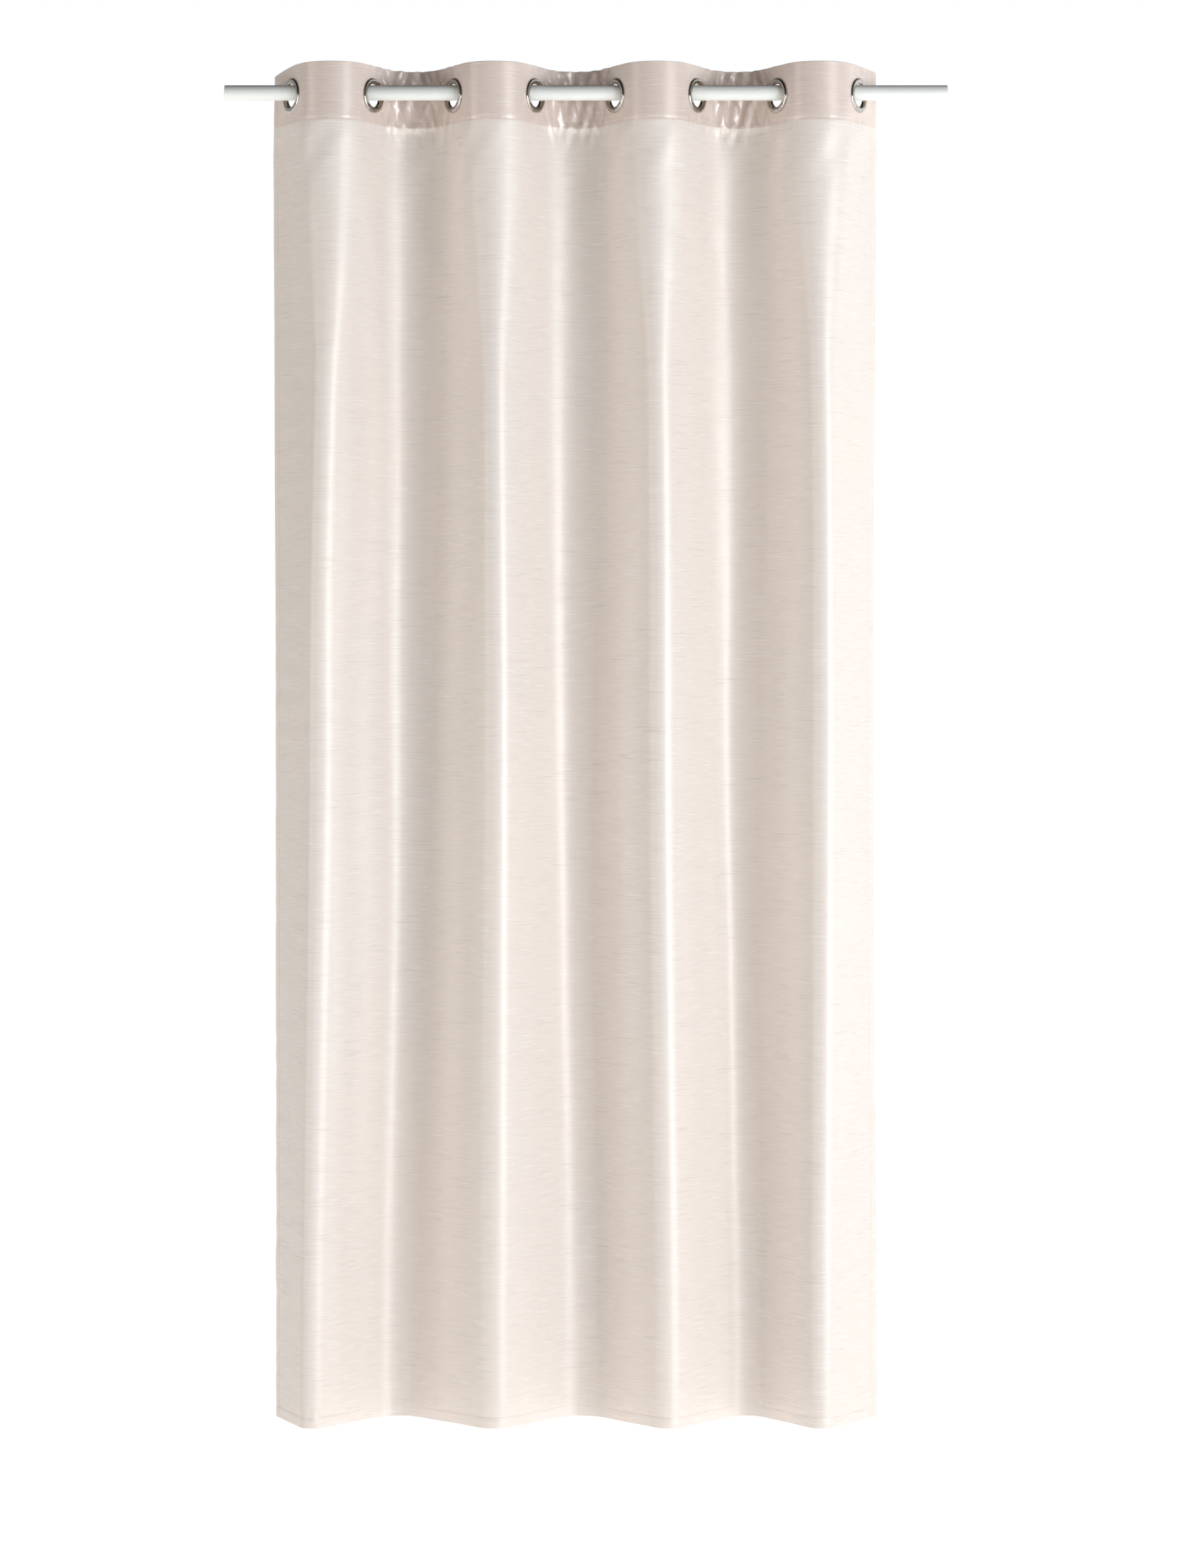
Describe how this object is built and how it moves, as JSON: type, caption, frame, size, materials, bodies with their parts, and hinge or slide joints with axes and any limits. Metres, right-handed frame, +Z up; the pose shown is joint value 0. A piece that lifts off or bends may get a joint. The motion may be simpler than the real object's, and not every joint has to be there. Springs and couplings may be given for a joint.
{
  "type": "eyelet curtain on a pole",
  "caption": "Satin curtain panel with a stiffened heading and metal eyelets, hung in soft accordion folds that weave round a straight round pole and gather along it.",
  "frame": {"origin": "on the pole's axis at mid-length", "axes": "+X along the pole to the right of a viewer in the room, +Y away from the viewer towards the window, +Z up"},
  "size_m": [1.3326, 0.123, 2.4998],
  "materials": {
    "satin_cloth": "champagne slub satin, soft sheen",
    "satin_heading": "champagne slub satin over a stiffener, soft sheen",
    "satin_hem": "champagne slub satin, folded and stitched",
    "stiffener": "white woven heading stiffener",
    "polished_metal": "polished",
    "painted_pole": "off-white matt paint, plain cut ends"
  },
  "bodies": {
    "pole": {"pole": "painted_pole"},
    "pleat_1": {"heading_1": "satin_heading", "stiffener_1": "stiffener", "cloth_1": "satin_cloth", "hem_1": "satin_hem", "eyelet_front_1": "polished_metal", "eyelet_back_1": "polished_metal", "side_hem_left": "satin_hem"},
    "pleat_2": {"heading_2": "satin_heading", "stiffener_2": "stiffener", "cloth_2": "satin_cloth", "hem_2": "satin_hem", "eyelet_front_2": "polished_metal", "eyelet_back_2": "polished_metal"},
    "pleat_3": {"heading_3": "satin_heading", "stiffener_3": "stiffener", "cloth_3": "satin_cloth", "hem_3": "satin_hem", "eyelet_front_3": "polished_metal", "eyelet_back_3": "polished_metal"},
    "pleat_4": {"heading_4": "satin_heading", "stiffener_4": "stiffener", "cloth_4": "satin_cloth", "hem_4": "satin_hem", "eyelet_front_4": "polished_metal", "eyelet_back_4": "polished_metal"},
    "pleat_5": {"heading_5": "satin_heading", "stiffener_5": "stiffener", "cloth_5": "satin_cloth", "hem_5": "satin_hem", "eyelet_front_5": "polished_metal", "eyelet_back_5": "polished_metal"},
    "pleat_6": {"heading_6": "satin_heading", "stiffener_6": "stiffener", "cloth_6": "satin_cloth", "hem_6": "satin_hem", "eyelet_front_6": "polished_metal", "eyelet_back_6": "polished_metal"},
    "pleat_7": {"heading_7": "satin_heading", "stiffener_7": "stiffener", "cloth_7": "satin_cloth", "hem_7": "satin_hem", "eyelet_front_7": "polished_metal", "eyelet_back_7": "polished_metal"},
    "pleat_8": {"heading_8": "satin_heading", "stiffener_8": "stiffener", "cloth_8": "satin_cloth", "hem_8": "satin_hem", "eyelet_front_8": "polished_metal", "eyelet_back_8": "polished_metal", "side_hem_right": "satin_hem"}
  },
  "joints": [
    {"name": "gather", "type": "hinge", "parent": "pole", "child": "pleat_1", "pos_m": [-0.54229, 0, 0], "axis": [0, 0, -1], "range_deg": [-2, 30]},
    {"name": "fold_2", "type": "hinge", "parent": "pleat_1", "child": "pleat_2", "pos_m": [-0.46768, -0.06027, 0], "axis": [0, 0, 1], "range_deg": [-4, 60]},
    {"name": "fold_3", "type": "hinge", "parent": "pleat_2", "child": "pleat_3", "pos_m": [-0.31845, 0.06027, 0], "axis": [0, 0, -1], "range_deg": [-4, 60]},
    {"name": "fold_4", "type": "hinge", "parent": "pleat_3", "child": "pleat_4", "pos_m": [-0.16923, -0.06027, 0], "axis": [0, 0, 1], "range_deg": [-4, 60]},
    {"name": "fold_5", "type": "hinge", "parent": "pleat_4", "child": "pleat_5", "pos_m": [-0.02, 0.06027, 0], "axis": [0, 0, -1], "range_deg": [-4, 60]},
    {"name": "fold_6", "type": "hinge", "parent": "pleat_5", "child": "pleat_6", "pos_m": [0.12923, -0.06027, 0], "axis": [0, 0, 1], "range_deg": [-4, 60]},
    {"name": "fold_7", "type": "hinge", "parent": "pleat_6", "child": "pleat_7", "pos_m": [0.27845, 0.06027, 0], "axis": [0, 0, -1], "range_deg": [-4, 60]},
    {"name": "fold_8", "type": "hinge", "parent": "pleat_7", "child": "pleat_8", "pos_m": [0.42768, -0.06027, 0], "axis": [0, 0, 1], "range_deg": [-4, 60]}
  ],
  "couplings": [
    {"joint": "fold_2", "follows": "gather", "ratio": 2},
    {"joint": "fold_3", "follows": "gather", "ratio": 2},
    {"joint": "fold_4", "follows": "gather", "ratio": 2},
    {"joint": "fold_5", "follows": "gather", "ratio": 2},
    {"joint": "fold_6", "follows": "gather", "ratio": 2},
    {"joint": "fold_7", "follows": "gather", "ratio": 2},
    {"joint": "fold_8", "follows": "gather", "ratio": 2}
  ]
}
